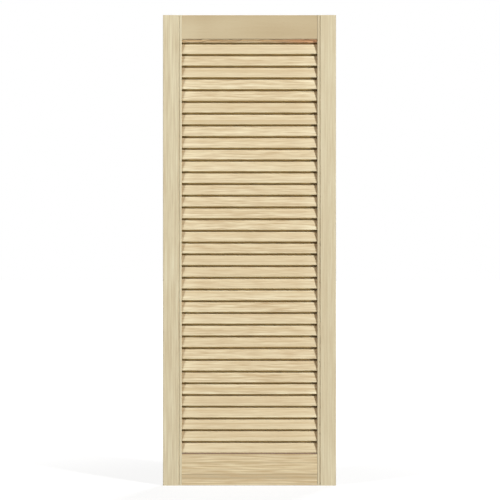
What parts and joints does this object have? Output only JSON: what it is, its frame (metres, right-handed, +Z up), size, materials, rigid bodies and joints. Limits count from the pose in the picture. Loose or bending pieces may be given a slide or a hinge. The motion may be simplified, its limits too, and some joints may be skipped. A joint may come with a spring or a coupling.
{
  "type": "louvred door",
  "caption": "Tall bare pine door leaf with beaded stiles, set-back rails and fixed raking slats that overlap, closing a cupboard or wardrobe while letting air through.",
  "frame": {"origin": "middle of the leaf's bottom edge", "axes": "+X across the leaf to the right as seen from the front, +Y from front to back, +Z up"},
  "size_m": [0.444, 0.021, 1.207],
  "materials": {
    "stile_pine": "planed bare pine",
    "rail_pine": "planed bare pine",
    "slat_pine": "planed bare pine",
    "dowel_beech": "plain beech"
  },
  "bodies": {
    "root": {"left_stile": "stile_pine", "right_stile": "stile_pine", "top_rail": "rail_pine", "bottom_rail": "rail_pine", "slat_01": "slat_pine", "slat_02": "slat_pine", "slat_03": "slat_pine", "slat_04": "slat_pine", "slat_05": "slat_pine", "slat_06": "slat_pine", "slat_07": "slat_pine", "slat_08": "slat_pine", "slat_09": "slat_pine", "slat_10": "slat_pine", "slat_11": "slat_pine", "slat_12": "slat_pine", "slat_13": "slat_pine", "slat_14": "slat_pine", "slat_15": "slat_pine", "slat_16": "slat_pine", "slat_17": "slat_pine", "slat_18": "slat_pine", "slat_19": "slat_pine", "slat_20": "slat_pine", "slat_21": "slat_pine", "slat_22": "slat_pine", "slat_23": "slat_pine", "slat_24": "slat_pine", "slat_25": "slat_pine", "slat_26": "slat_pine", "slat_27": "slat_pine", "slat_28": "slat_pine", "slat_29": "slat_pine", "slat_30": "slat_pine", "slat_31": "slat_pine", "slat_32": "slat_pine", "slat_33": "slat_pine", "slat_34": "slat_pine", "slat_35": "slat_pine", "closing_strip": "rail_pine", "rail_dowels": "dowel_beech"}
  },
  "joints": []
}
